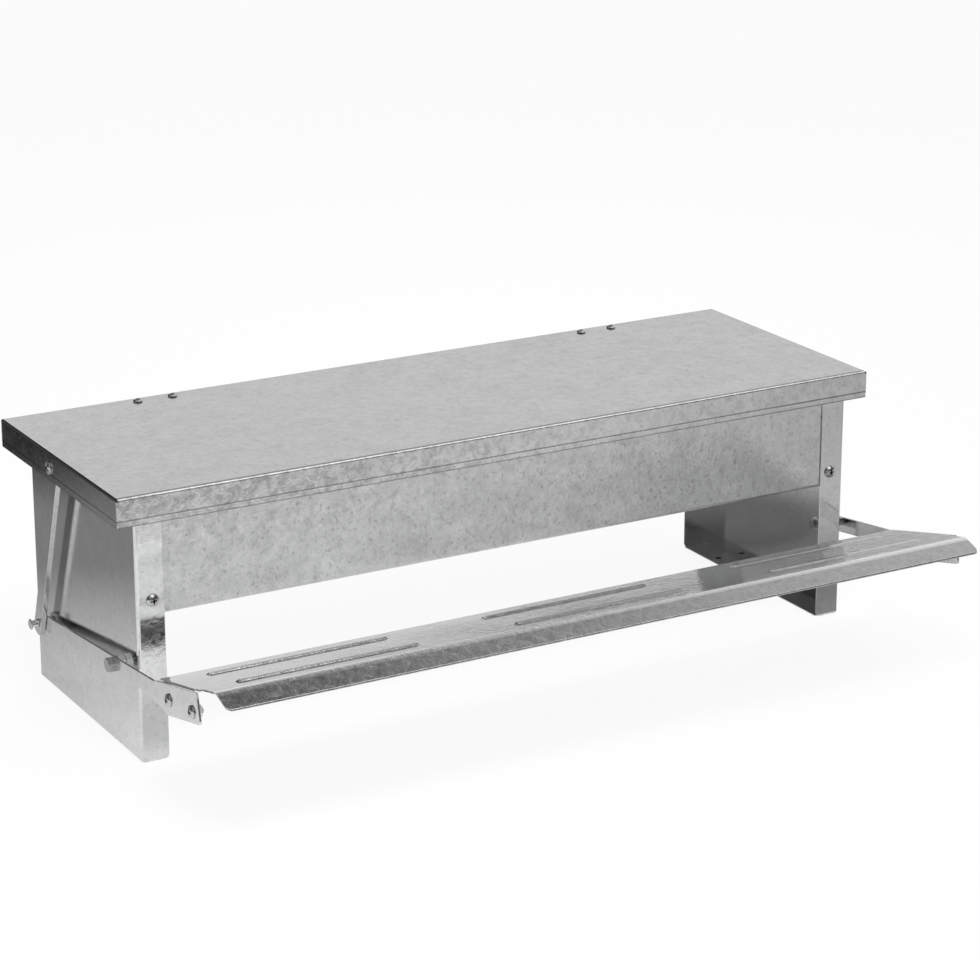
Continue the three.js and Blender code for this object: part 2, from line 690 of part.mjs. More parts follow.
// Pivot: a hexagon bolt through the arm, a spacer nut, the web and a nut inside
function pivotPieces(side) {
  const inwards = outwards(-side);
  const headAt = armInnerAtPivot + armThickness + headSeat;
  const shankEnd = webInner - pivotNut.height - pivotBolt.proud;
  const shank = rod(pointAt(side * shankEnd, pivotY, pivotZ), outwards(side), headAt - shankEnd + 1,
    pivotBolt.radius);
  const head = hexBlock(pointAt(side * headAt, pivotY, pivotZ), outwards(side), pivotBolt.across,
    pivotBolt.headHeight, Math.PI / 9);
  const innerNut = nut(pointAt(side * (webInner - seat), pivotY, pivotZ), inwards, pivotNut,
    pivotBolt.radius, Math.PI / 7);
  const spacer = nut(pointAt(side * (webOuter + seat), pivotY, pivotZ), outwards(side), pivotNut,
    pivotBolt.radius, Math.PI / 5);
  return { bolt: head.add(shank), innerNut, spacer };
}

// Blind rivet: a flat dome on the outside and an upset end on the inside
function blindRivet(point, direction, grip) {
  const { radius, headRadius, headHeight, upsetRadius, upsetHeight } = rivet;
  const upset = -grip - seat - upsetHeight;
  return revolve([
    [0, upset], [upsetRadius * 0.8, upset], [upsetRadius, -grip - seat - upsetHeight / 2],
    [upsetRadius, -grip - seat], [radius, -grip - seat], [radius, 0], [headRadius, 0],
    [headRadius * 0.75, headHeight * 0.8], [0, headHeight],
  ], point, direction, smallRound);
}

// A domed screw through a stack of sheets and the nut behind it
function screwAndNut(names, face, direction, grip, [screw, nutSize], turn = 0) {
  const [screwName, nutName] = names;
  const head = face.clone().addScaledVector(direction, headSeat);
  const behind = face.clone().addScaledVector(direction, -grip - headSeat);
  const length = headSeat + grip + headSeat + nutSize.height + screwProud;
  const inwards = direction.clone().negate();
  addPiece(screwName, domedScrew(head, direction, length, screw), brightZinc);
  addPiece(nutName, nut(behind, inwards, nutSize, screw.radius, turn), brightZinc);
}

// Pieces fixed to the ground frame
addPiece("trough", trough(), galvanised);
for (const [name, side] of sides) {
  const { bolt, innerNut, spacer } = pivotPieces(side);
  const hingeX = side * hingeMiddleX;
  const hingeEnd = pointAt(hingeX - hingeLength / 2, hingePinY, hingePinZ);
  addPiece(`side_plate_${name}`, sidePlate(side), galvanised);
  addPiece(`pivot_bolt_${name}`, bolt, brightZinc);
  addPiece(`pivot_inner_nut_${name}`, innerNut, brightZinc);
  addPiece(`pivot_spacer_nut_${name}`, spacer, brightZinc);
  addPiece(`hinge_fixed_leaf_${name}`,
    placedLeaf(hingeLeafBody(0, wallRivetFromPin), hingeX, hangingLeaf), brightZinc);
  addPiece(`hinge_pin_${name}`, rod(hingeEnd, axisX, hingeLength, hingePinRadius, smallRound),
    brightZinc);

  const troughGrip = sidePlateSheet + seat + troughSheet;
  for (const [place, way, y] of [["front", -1, sidePlateFront], ["rear", 1, sidePlateRear]]) {
    screwAndNut([`trough_screw_${place}_${name}`, `trough_nut_${place}_${name}`],
      pointAt(side * troughScrewX, y, troughScrewHeight), axisY.clone().multiplyScalar(way), troughGrip,
      frameFixing);
  }
  hingeScrewPlaces(side).forEach((x, i) => {
    const face = pointAt(x, hingePinY - hingeKnuckleRadius + hingeLeaf + headSeat, wallRivetZ);
    const grip = headSeat + hingeLeaf + seat + troughSheet;
    addPiece(`hinge_rivet_${name}_${i + 1}`, blindRivet(face, axisY, grip), brightZinc);
  });
}

// Pieces of the lid
const lidScrewY = hingePinY + hingeScrewFromPin;
addPiece("lid", lid(), galvanised);
for (const [name, side] of sides) {
  const hingeX = side * hingeMiddleX;
  addPiece(`hinge_moving_leaf_${name}`,
    placedLeaf(hingeLeafBody(1, hingeScrewFromPin), hingeX, lyingLeaf), brightZinc);
  hingeScrewPlaces(side).forEach((x, i) => {
    screwAndNut([`lid_hinge_screw_${name}_${i + 1}`, `lid_hinge_nut_${name}_${i + 1}`],
      pointAt(x, lidScrewY, lidTop), axisZ, lidSheet + seat + hingeLeaf, hingeFixing, Math.PI / 6);
  });

  const skirtInside = lidLength / 2 - lidSheet - headSeat;
  const lockNutFace = linkInnerAt(lidPinZ) - runningGap;
  const screwTip = lockNutFace - frameNut.height - screwProud;
  const head = pointAt(side * (lidLength / 2 + headSeat), lidPinY, lidPinZ);
  addPiece(`lid_link_screw_${name}`,
    domedScrew(head, outwards(side), lidLength / 2 + headSeat - screwTip, frameScrew), brightZinc);
  addPiece(`lid_link_spacer_nut_${name}`,
    nut(pointAt(side * skirtInside, lidPinY, lidPinZ), outwards(-side), spacerNut, frameScrew.radius),
    brightZinc);
  addPiece(`lid_link_lock_nut_${name}`,
    nut(pointAt(side * lockNutFace, lidPinY, lidPinZ), outwards(-side), frameNut, frameScrew.radius),
    brightZinc);
}

// Pieces of the treadle
addPiece("treadle_plate", treadlePlate(), galvanised);
for (const [name, side] of sides) {
  addPiece(`treadle_arm_${name}`, arm(side), galvanised);
  addPiece(`link_pin_${name}`, linkPin(side), brightZinc);
  armScrewPoints().forEach(({ y, z }, i) => {
    const face = pointAt(side * (armInnerAt(y) + armThickness), y, z);
    const grip = armThickness + runningGap + treadleSheet;
    const place = i === 0 ? "rear" : "front";
    screwAndNut([`treadle_screw_${place}_${name}`, `treadle_nut_${place}_${name}`],
      face, outwards(side), grip, frameFixing);
  });
}

// Links
for (const [name, side] of sides) addPiece(`link_${name}`, link(side), galvanised);

// The origin stands on the floor, midway between the treadle's front and the lid's rear
const bounds = new THREE.Box3().setFromObject(feeder);
feeder.position.y = -(bounds.min.y + bounds.max.y) / 2;
feeder.updateMatrixWorld(true);

export default feeder;
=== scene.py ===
import json
import math
import random

import bmesh
import bpy
from mathutils import Matrix, Vector

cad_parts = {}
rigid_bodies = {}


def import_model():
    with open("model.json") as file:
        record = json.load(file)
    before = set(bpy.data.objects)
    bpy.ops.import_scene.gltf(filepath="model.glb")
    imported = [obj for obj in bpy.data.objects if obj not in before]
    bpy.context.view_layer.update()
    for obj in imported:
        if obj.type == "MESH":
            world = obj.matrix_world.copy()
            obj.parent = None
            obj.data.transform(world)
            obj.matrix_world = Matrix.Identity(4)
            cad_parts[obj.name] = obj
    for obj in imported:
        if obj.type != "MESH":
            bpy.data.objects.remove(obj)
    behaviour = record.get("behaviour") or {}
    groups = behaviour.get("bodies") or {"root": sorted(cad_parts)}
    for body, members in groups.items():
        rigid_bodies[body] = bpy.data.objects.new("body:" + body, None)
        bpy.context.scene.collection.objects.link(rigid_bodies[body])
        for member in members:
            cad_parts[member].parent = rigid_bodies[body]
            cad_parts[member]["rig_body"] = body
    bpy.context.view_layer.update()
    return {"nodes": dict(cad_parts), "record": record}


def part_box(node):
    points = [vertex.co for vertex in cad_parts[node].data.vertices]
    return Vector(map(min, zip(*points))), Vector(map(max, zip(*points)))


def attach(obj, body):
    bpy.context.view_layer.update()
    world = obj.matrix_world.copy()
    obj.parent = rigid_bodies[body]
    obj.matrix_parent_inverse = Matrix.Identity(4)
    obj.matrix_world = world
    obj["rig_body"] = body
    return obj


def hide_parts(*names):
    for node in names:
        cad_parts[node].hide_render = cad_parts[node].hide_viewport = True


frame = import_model()

# The photograph's camera: where it stood, in metres, which way it looked, its focal length in
# pixels, the side of the square picture, and the row where the camera's axis meets it. The sensor
# is in millimetres, and the camera sees as far as its reach, in metres.
CAMERA_PLACE = Vector((-1.35014, -2.34640, 1.09153))
CAMERA_AZIMUTH = math.radians(-29.789)
CAMERA_ELEVATION = math.radians(16.999)
FOCAL_PIXELS = 3029.59
IMAGE_PIXELS = 980
AXIS_ROW = 410
SENSOR_WIDTH = 36
CAMERA_REACH = 50

# Screw heads, in shares of the head's radius: the head's height, the straight rim under its dome,
# the cross recess, and how deep and how near the axis a face has to be to count as the recess's and
# get its painted shade
HEAD_HEIGHT = 0.5
HEAD_RIM = 0.14
RECESS_REACH = 0.62
RECESS_WIDTH = 0.3
RECESS_DEPTH = 0.4
RECESS_SKIN = 0.03
RECESS_ZONE = 0.9
# The two ends of a wedge that cuts the recess: shares of the recess's depth, reach and width
WEDGE_ENDS = ((-1, 0.45, 0.6), (1, 1.35, 1.2))

# Screw shanks: the head radius, in metres, above which a screw is large, the shank's share of the
# head's radius on large and small ones, the core's share of the shank's radius between ridges, the
# ridges' pitch, in metres, and where in a pitch a ridge starts and is highest
LARGE_HEAD = 0.0055
LARGE_SHANK = 0.5
SMALL_SHANK = 0.53
THREAD_CORE = 0.86
THREAD_PITCH = 0.001
RIDGE_START = 0.1
RIDGE_TOP = 0.5

# A screw's steps around and up its dome, the angle from which its edges are sharp, and the seed
# for how far each one is turned
ROUND_STEPS = 48
DOME_STEPS = 9
SHARP_ANGLE = math.radians(35)
SCREW_SEED = 7

# The lid's dark lines, painted shade and painted dark reflections along its end folds, its front
# fold, the step that its hem leaves in the skirt and the skirt's lower edge. Places, half widths
# and fades are in metres, and 1 is the darkest.
FOLD_X = 0.3982
FOLD_Z = 0.2506
FOLD_FADE = 0.0005
FOLD_DARK = 0.86
FRONT_FOLD_Y = -0.0349
FRONT_FOLD_HALF = 0.0011
FRONT_FOLD_FADE = 0.0006
FRONT_FOLD_DARK = 0.6
HEM_STEP_Z = 0.2325
HEM_STEP_HALF = 0.0003
HEM_STEP_FADE = 0.0007
HEM_STEP_DARK = 0.62
HEM_EDGE_Z = 0.2266
HEM_EDGE_FADE = 0.0013
HEM_EDGE_DARK = 0.7

# The painted highlight along the treadle's fold: how far under its top it fades, in metres, and its
# colour
FOLD_HIGHLIGHT_DROP = 0.0009
FOLD_HIGHLIGHT = (0.96, 0.963, 0.966, 1)

# Rubbing: how far a face leans forwards where it starts and is full, the places, in metres, between
# which it fades from the left to its rest on the right, the cloud levels of its blotches, and how
# dark they are
LEAN_FADE = (-0.1, -0.25)
RUB_FADE = (-0.1, 0.1)
RUB_REST = 0.3
BLOTCH_LEVELS = (0.38, 0.56)
BLOTCH_DARK = 0.2

# Galvanised sheet's noises: scale a metre, detail, roughness and distortion
ZINC_NOISES = {
    "cloud": (115, 5, 0.66, 0.6),
    "grain": (620, 2, 0.55, 0),
    "wave": (7, 1, 0.55, 0),
    "smudge": (34, 4, 0.6, 0.4),
    "specks": (260, 2, 0.5, 0),
}
# Where the clouds are darkest, plain and lightest, and how much darker and lighter they get
CLOUD_STOPS = (0.3, 0.5, 0.68)
CLOUD_DARK = 0.14
CLOUD_LIGHT = 0.06
# The other noises' dark spots: the levels where they are darkest and where they end, and how dark
ZINC_SPOTS = {"specks": (0.3, 0.4, 0.2), "grain": (0.3, 0.6, 0.08), "smudge": (0.36, 0.6, 0.07)}
# How deep the bumps are, in metres
WAVE_DEPTH = 0.0006
CLOUD_DEPTH = 0.00014
RUBBED_DEPTH = 0.00022
GRAIN_DEPTH = 0.00003

# Zinc plating: its clouds' scale a metre, stops, dark and light, and its bumps' depth in metres
PLATING_SCALE = 500
PLATING_STOPS = (0.34, 0.5, 0.68)
PLATING_DARK = 0.16
PLATING_LIGHT = 0.04
PLATING_DEPTH = 0.00005

# How much rougher and smoother the metal is at these levels of its clouds and smudges
CLOUD_LEVELS = (0.3, 0.7)
CLOUD_ROUGHER = 0.06
CLOUD_SMOOTHER = 0.03
SMUDGE_LEVELS = (0.35, 0.65)
SMUDGE_ROUGHER = 0.03
SMUDGE_SMOOTHER = 0.02

# The room: which way each bright patch lies, the half angles, in degrees, of its even part and of
# its outer edge, and how much brighter than the rest it is. Below 0 a patch is darker.
ROOM_BASE = 0.12
ROOM = [
    ((0.50, 0.82, 0.28), 16, 40, 0.63),
    ((0.85, 0.15, 0.50), 16, 40, 0.55),
    ((0.20, -0.65, 0.70), 8, 28, 1.38),
    ((0.46, -0.20, 0.86), 9, 21, 1.4),
    ((-0.10, -0.80, 0.60), 12, 35, 0.25),
    ((-0.20, -0.10, 0.97), 15, 45, 0.5),
    ((-0.90, -0.20, 0.40), 10, 32, 0.3),
    ((-0.50, 0.83, 0.22), 6, 20, 0.08),
    ((-0.10, 0.83, 0.55), 8, 24, -0.1),
    ((0.56, 0.83, -0.02), 4, 14, -0.4),
    ((0.52, 0.853, 0.035), 2, 5.5, -0.3),
    ((0.33, 0.21, 0.92), 3.8, 5.8, 1.6),
    ((0.465, 0.20, 0.865), 1.5, 3.5, -0.2),
]

# The floor: its half side in metres, its own grey, and the share of plain white in what the camera
# and the metal see
FLOOR_HALF = 40
FLOOR_GREY = 0.85
FLOOR_SEEN = 0.92
FLOOR_MIRRORED = 0.6

# The soft darker patches that the metal sees on the floor: middle and half size, in metres, share
# that is evenly dark, and what is left of the light there. They lie just over the floor, each one
# a step over the one before.
FLOOR_SHADES = [
    ((-0.8, 1.1), (0.9, 1.2), 0.6, 0.28),
    ((-0.69, 0.94), (0.2, 0.34), 0.3, 0.08),
    ((0.3, 0.25), (0.25, 0.25), 0.3, 0.22),
    ((1.5, 2.3), (1.2, 1.4), 0.1, 0.35),
    ((2.05, 3.1), (0.7, 1.7), 0.2, 0.15),
    ((1.0, -0.45), (1.15, 0.8), 0.1, 0.5),
    ((-0.35, -1.1), (1.0, 0.65), 0.25, 0.25),
    ((-0.25, -0.325), (0.075, 0.052), 0.7, 0.03),
    ((0.42, -0.08), (0.3, 0.34), 0.2, 0.4),
    ((0.6, -2.8), (2.8, 1.9), 0.2, 0.15),
    ((-1.2, 2.7), (1.8, 1.3), 0.2, 0.4),
]
SHADE_HEIGHT = 0.0004
SHADE_STEP = 0.00015

# The holes in the side plates' feet, through which little light reaches the floor, and the dark
# squares under them: half side and height over the floor, in metres, and grey
FOOT_HOLES = [(-0.3656, 0.16294), (0.3656, 0.16294)]
HOLE_SHADE_HALF = 0.006
HOLE_SHADE_HEIGHT = 0.0003
HOLE_SHADE_GREY = 0.05

# The lamps: place, target and side, in metres, and power in watts
LAMPS = {
    "key": ((-0.5, -1.0, 2.1), (-0.25, -0.45, 0), 0.7, 11),
    "back": ((0.9, 1.4, 1.9), (0.45, 0.8, 0), 0.6, 4),
}
LAMP_BEAM = math.radians(100)


def make_camera():
    data = bpy.data.cameras.new("camera")
    data.sensor_width = SENSOR_WIDTH
    data.lens = FOCAL_PIXELS * SENSOR_WIDTH / IMAGE_PIXELS
    data.shift_y = (AXIS_ROW - IMAGE_PIXELS / 2) / IMAGE_PIXELS
    data.clip_end = CAMERA_REACH
    camera = bpy.data.objects.new("camera", data)
    back = Vector((
        math.sin(CAMERA_AZIMUTH) * math.cos(CAMERA_ELEVATION),
        -math.cos(CAMERA_AZIMUTH) * math.cos(CAMERA_ELEVATION),
        math.sin(CAMERA_ELEVATION),
    ))
    camera.rotation_mode = "QUATERNION"
    camera.rotation_quaternion = (-back).to_track_quat("-Z", "Y")
    camera.location = CAMERA_PLACE
    bpy.context.scene.collection.objects.link(camera)
    bpy.context.scene.camera = camera


def grey(level):
    return (level, level, level, 1)


class Nodes:
    """A short way to write a node tree."""

    def __init__(self, owner):
        owner.use_nodes = True
        self.tree = owner.node_tree
        self.tree.nodes.clear()

    def add(self, kind, inputs=None, **settings):
        """A new node. Each input, by name or number, is given a socket or a value."""
        node = self.tree.nodes.new(kind)
        for key, value in settings.items():
            setattr(node, key, value)
        for key, value in (inputs or {}).items():
            if isinstance(value, bpy.types.NodeSocket):
                self.tree.links.new(value, node.inputs[key])
            else:
                node.inputs[key].default_value = value
        return node

    def coordinates(self, kind):
        return self.add("ShaderNodeTexCoord").outputs[kind]

    def axes(self, vector):
        return self.add("ShaderNodeSeparateXYZ", {"Vector": vector}).outputs

    def noise(self, place, scale, detail, roughness=0.55, distortion=0):
        return self.add("ShaderNodeTexNoise", {
            "Vector": place, "Scale": scale, "Detail": detail, "Roughness": roughness,
            "Distortion": distortion,
        }).outputs["Fac"]

    def ramp(self, value, stops):
        node = self.add("ShaderNodeValToRGB", {"Fac": value})
        elements = node.color_ramp.elements
        while len(elements) < len(stops):
            elements.new(0.5)
        for element, (place, level) in zip(elements, stops):
            element.position = place
            element.color = (*level, 1) if isinstance(level, tuple) else grey(level)
        return node.outputs["Color"]

    def inverse(self, value):
        return self.ramp(value, [(0, 1), (1, 0)])

    def spread(self, value, low, high, out_low, out_high, kind="LINEAR"):
        """Maps low to out_low and high to out_high, and stays at these outside."""
        return self.add("ShaderNodeMapRange", {
            "Value": value, "From Min": low, "From Max": high,
            "To Min": out_low, "To Max": out_high,
        }, interpolation_type=kind).outputs["Result"]

    def math(self, operation, *values):
        node = self.add("ShaderNodeMath", dict(enumerate(values)), operation=operation)
        return node.outputs[0]

    def away(self, value, place):
        return self.math("ABSOLUTE", self.math("SUBTRACT", value, place))

    def mix(self, share, a, b, kind="MIX"):
        """A mix of two colours; 0, 6, 7 and 2 are the Mix node's sockets for colours."""
        node = self.add("ShaderNodeMix", {0: share, 6: a, 7: b}, data_type="RGBA", blend_type=kind)
        return node.outputs[2]

    def multiply(self, a, b):
        return self.mix(1.0, a, b, kind="MULTIPLY")

    def rounded(self, edge):
        """Normals that round the edges by this radius."""
        return self.add("ShaderNodeBevel", {"Radius": edge}, samples=6).outputs["Normal"]

    def bump(self, height, depth, normal):
        return self.add("ShaderNodeBump", {
            "Strength": 1.0, "Distance": depth, "Height": height, "Normal": normal,
        }).outputs["Normal"]

    def surface(self, shader):
        self.add("ShaderNodeOutputMaterial", {"Surface": shader.outputs[0]})

    def metal(self, base, rough, normal):
        self.surface(self.add("ShaderNodeBsdfPrincipled", {
            "Base Color": base, "Metallic": 1.0, "Roughness": rough, "Normal": normal,
        }))


def clouded(nodes, cloud, stops, tint, dark, light):
    """The tint, darker and lighter at the outer stops of the clouds."""
    levels = [tuple(min(1, c * share) for c in tint) for share in (1 - dark, 1, 1 + light)]
    return nodes.ramp(cloud, list(zip(stops, levels)))


def clouded_roughness(nodes, cloud, roughness, mottle):
    return nodes.spread(cloud, *CLOUD_LEVELS, roughness + CLOUD_ROUGHER * mottle,
                        roughness - CLOUD_SMOOTHER * mottle)


def galvanised(name, tint, roughness, edge, mottle, rubbing=0, line_shade=False, fold_top=None):
    """Zinc-coated sheet: cloudy crystals that bend the reflections, specks and a faint waviness.

    All of these are as strong as mottle. With rubbing, faces that lean forwards are blotchy.
    The lid's folds, the step of its hem and its lower edge can get painted shade and painted dark
    reflections, and a fold that reaches up to fold_top gets a painted highlight.
    """
    material = bpy.data.materials.new(name)
    nodes = Nodes(material)
    place = nodes.coordinates("Object")
    axes = nodes.axes(place)
    noise = {kind: nodes.noise(place, *values) for kind, values in ZINC_NOISES.items()}
    cloud = noise["cloud"]
    base = clouded(nodes, cloud, CLOUD_STOPS, tint, CLOUD_DARK * mottle, CLOUD_LIGHT * mottle)
    for kind, (low, high, dark) in ZINC_SPOTS.items():
        base = nodes.multiply(base, nodes.ramp(noise[kind], [(low, 1 - dark * mottle), (high, 1)]))
    cloud_depth = CLOUD_DEPTH * mottle
    if rubbing:
        rubbed = rubbed_share(nodes, axes, rubbing)
        blotch = nodes.spread(cloud, *BLOTCH_LEVELS, BLOTCH_DARK, 0)
        base = nodes.multiply(base, nodes.inverse(nodes.math("MULTIPLY", rubbed, blotch)))
        cloud_depth = nodes.math("MULTIPLY_ADD", rubbed, RUBBED_DEPTH, cloud_depth)
    # Painted shade and painted dark reflections along the lid's folds, hem step and lower edge
    if line_shade:
        base = nodes.multiply(base, nodes.inverse(painted_line_shade(nodes, axes)))
    # A painted highlight along the treadle's fold, just under the plate's top
    if fold_top:
        fold_highlight_share = nodes.spread(axes["Z"], fold_top - 2 * FOLD_HIGHLIGHT_DROP, fold_top - FOLD_HIGHLIGHT_DROP,
                            0, 1)
        base = nodes.mix(fold_highlight_share, base, FOLD_HIGHLIGHT)
    smudged = nodes.spread(noise["smudge"], *SMUDGE_LEVELS, SMUDGE_ROUGHER * mottle,
                           -SMUDGE_SMOOTHER * mottle)
    rough = nodes.math("ADD", clouded_roughness(nodes, cloud, roughness, mottle), smudged)
    normal = nodes.bump(noise["wave"], WAVE_DEPTH, nodes.rounded(edge))
    normal = nodes.bump(cloud, cloud_depth, normal)
    normal = nodes.bump(noise["grain"], GRAIN_DEPTH * mottle, normal)
    nodes.metal(base, rough, normal)
    return material


def rubbed_share(nodes, axes, rubbing):
    """How rubbed a place is: it leans forwards, and it is rubbed most on the left."""
    facing = nodes.axes(nodes.coordinates("Normal"))["Y"]
    return nodes.math("MULTIPLY", nodes.spread(facing, *LEAN_FADE, 0, rubbing),
                      nodes.spread(axes["X"], *RUB_FADE, 1, RUB_REST))


def painted_line_shade(nodes, axes):
    """How much painted shade and painted dark reflection darken the lid's end and front folds, its
    hem's step and its lower edge.
    """
    on_top = nodes.spread(axes["Z"], FOLD_Z, FOLD_Z + FOLD_FADE, 0, 1)
    end = nodes.spread(nodes.away(axes["X"], 0), FOLD_X, FOLD_X + FOLD_FADE, 0, FOLD_DARK)
    front = nodes.spread(nodes.away(axes["Y"], FRONT_FOLD_Y), FRONT_FOLD_HALF,
                         FRONT_FOLD_HALF + FRONT_FOLD_FADE, FRONT_FOLD_DARK, 0)
    step = nodes.spread(nodes.away(axes["Z"], HEM_STEP_Z), HEM_STEP_HALF,
                        HEM_STEP_HALF + HEM_STEP_FADE, HEM_STEP_DARK, 0)
    edge = nodes.spread(axes["Z"], HEM_EDGE_Z, HEM_EDGE_Z + HEM_EDGE_FADE, HEM_EDGE_DARK, 0)
    folds = nodes.math("MULTIPLY", on_top, nodes.math("MAXIMUM", end, front))
    return nodes.math("MAXIMUM", folds, nodes.math("MAXIMUM", step, edge))


def plated(name, tint, roughness, edge):
    """Bright zinc plating on small parts, with slightly duller patches."""
    material = bpy.data.materials.new(name)
    nodes = Nodes(material)
    cloud = nodes.noise(nodes.coordinates("Object"), PLATING_SCALE, 3)
    base = clouded(nodes, cloud, PLATING_STOPS, tint, PLATING_DARK, PLATING_LIGHT)
    rough = clouded_roughness(nodes, cloud, roughness, 1)
    nodes.metal(base, rough, nodes.bump(cloud, PLATING_DEPTH, nodes.rounded(edge)))
    return material


def dress(node, material):
    data = frame["nodes"][node].data
    data.materials.clear()
    data.materials.append(material)


def turned(profile):
    """A bmesh of revolution about Z from (radius, height) points that start and end on the axis."""
    shape = bmesh.new()
    angles = [2 * math.pi * i / ROUND_STEPS for i in range(ROUND_STEPS)]
    rings = []
    for radius, height in profile:
        if radius == 0:
            rings.append([shape.verts.new((0, 0, height))])
            continue
        rings.append([
            shape.verts.new((radius * math.cos(a), radius * math.sin(a), height)) for a in angles
        ])
    for lower, upper in zip(rings, rings[1:]):
        for i in range(ROUND_STEPS):
            j = (i + 1) % ROUND_STEPS
            corners = [
                lower[i % len(lower)], lower[j % len(lower)],
                upper[j % len(upper)], upper[i % len(upper)],
            ]
            shape.faces.new(dict.fromkeys(corners))
    bmesh.ops.recalc_face_normals(shape, faces=shape.faces)
    return shape


def mesh_of(shape, name):
    mesh = bpy.data.meshes.new(name)
    shape.to_mesh(mesh)
    shape.free()
    return mesh


def cross_cutter(radius):
    """Two crossed wedges that narrow downwards, for a recess in the top of a head at height 0."""
    shape = bmesh.new()
    for turn in (0, math.pi / 2):
        corners = []
        for depth, reach, width in WEDGE_ENDS:
            half = RECESS_REACH * radius * reach
            side = RECESS_WIDTH * radius * width / 2
            for x, y in ((-half, -side), (half, -side), (half, side), (-half, side)):
                spot = Matrix.Rotation(turn, 3, "Z") @ Vector((x, y, 0))
                corners.append(shape.verts.new((spot.x, spot.y, depth * RECESS_DEPTH * radius)))
        shape.faces.new(corners[3::-1])
        shape.faces.new(corners[4:])
        for i in range(4):
            j = (i + 1) % 4
            shape.faces.new((corners[i], corners[j], corners[4 + j], corners[4 + i]))
    return mesh_of(shape, "cross_cutter")


def screw_mesh(head_radius, shank_radius, length):
    """A domed screw with a cross recess; its top is at 0 and its shank points down, with ridges.

    The recess's faces take the second material, which paints the shade in the recess.
    """
    height = HEAD_HEIGHT * head_radius
    dome = height - HEAD_RIM * head_radius
    ball = (head_radius ** 2 + dome ** 2) / (2 * dome)
    widest = math.asin(head_radius / ball)
    core = THREAD_CORE * shank_radius
    ridges = int((length - height) / THREAD_PITCH)
    profile = [(0, -length)]
    for i in range(ridges):
        foot = -length + i * THREAD_PITCH
        profile.append((core, foot + RIDGE_START * THREAD_PITCH))
        profile.append((shank_radius, foot + RIDGE_TOP * THREAD_PITCH))
    profile.append((core, -length + ridges * THREAD_PITCH))
    profile.append((core, -height))
    profile.append((head_radius, -height))
    for i in range(DOME_STEPS):
        angle = widest * (1 - i / DOME_STEPS)
        profile.append((ball * math.sin(angle), ball * (math.cos(angle) - 1)))
    profile.append((0, 0))
    body = bpy.data.objects.new("screw_blank", mesh_of(turned(profile), "screw_blank"))
    cutter = bpy.data.objects.new("screw_cutter", cross_cutter(head_radius))
    for made in (body, cutter):
        bpy.context.scene.collection.objects.link(made)
    cut = body.modifiers.new("recess", "BOOLEAN")
    cut.operation = "DIFFERENCE"
    cut.solver = "EXACT"
    cut.use_self = True
    cut.object = cutter
    bpy.context.view_layer.update()
    mesh = bpy.data.meshes.new_from_object(
        body.evaluated_get(bpy.context.evaluated_depsgraph_get()))
    for made in (body, cutter):
        bpy.data.objects.remove(made)
    for polygon in mesh.polygons:
        polygon.use_smooth = True
        middle = polygon.center
        off = math.hypot(middle.x, middle.y)
        skin = math.sqrt(ball ** 2 - min(off, head_radius) ** 2) - ball - RECESS_SKIN * head_radius
        # Faces inside the recess take the second material, which paints the shade there
        if -height < middle.z < skin and off < head_radius * RECESS_ZONE:
            polygon.material_index = 1
    mesh.set_sharp_from_angle(angle=SHARP_ANGLE)
    mesh.name = "screw"
    return mesh


def screw_place(node):
    """A CAD screw's top, the way its head faces, its head's radius and its length.

    It lies along the side of its box that differs from the other two. A head faces up or outwards,
    and on a screw from front to rear it faces the rear only if the screw's name says rear.
    """
    low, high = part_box(node)
    size = high - low
    across = sorted(size)[1]
    along = max(range(3), key=lambda i: abs(size[i] - across))
    middle = (low + high) / 2
    if along == 2:
        way = 1
    elif along == 0:
        way = math.copysign(1, middle.x)
    else:
        way = 1 if "rear" in node else -1
    direction = Vector((0, 0, 0))
    direction[along] = way
    top = middle + direction * size[along] / 2
    return top, direction, across / 2, size[along]


def detailed_screws(material, recess_shade_material):
    """Puts a screw with a cross recess and a ridged shank in the place of each plain CAD screw."""
    made = {}
    roll = random.Random(SCREW_SEED)
    for node in sorted(name for name in frame["nodes"] if "_screw_" in name):
        top, direction, head_radius, length = screw_place(node)
        key = (round(head_radius, 4), round(length, 4))
        if key not in made:
            shank = LARGE_SHANK if head_radius > LARGE_HEAD else SMALL_SHANK
            made[key] = screw_mesh(head_radius, shank * head_radius, length)
            made[key].materials.append(material)
            made[key].materials.append(recess_shade_material)
        piece = bpy.data.objects.new(node.replace("_screw_", "_cross_screw_"), made[key])
        piece.rotation_mode = "QUATERNION"
        turn = Matrix.Rotation(roll.uniform(0, math.pi / 2), 3, "Z").to_quaternion()
        piece.rotation_quaternion = direction.to_track_quat("Z", "Y") @ turn
        piece.location = top
        bpy.context.scene.collection.objects.link(piece)
        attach(piece, frame["nodes"][node]["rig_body"])
        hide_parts(node)


def stage_quad(name, middle, half, material):
    corners = [(x * half[0], y * half[1], 0) for x, y in ((-1, -1), (1, -1), (1, 1), (-1, 1))]
    mesh = bpy.data.meshes.new(name)
    mesh.from_pydata(corners, [], [(0, 1, 2, 3)])
    mesh.materials.append(material)
    quad = bpy.data.objects.new(name, mesh)
    quad.location = middle
    bpy.context.scene.collection.objects.link(quad)
    return quad


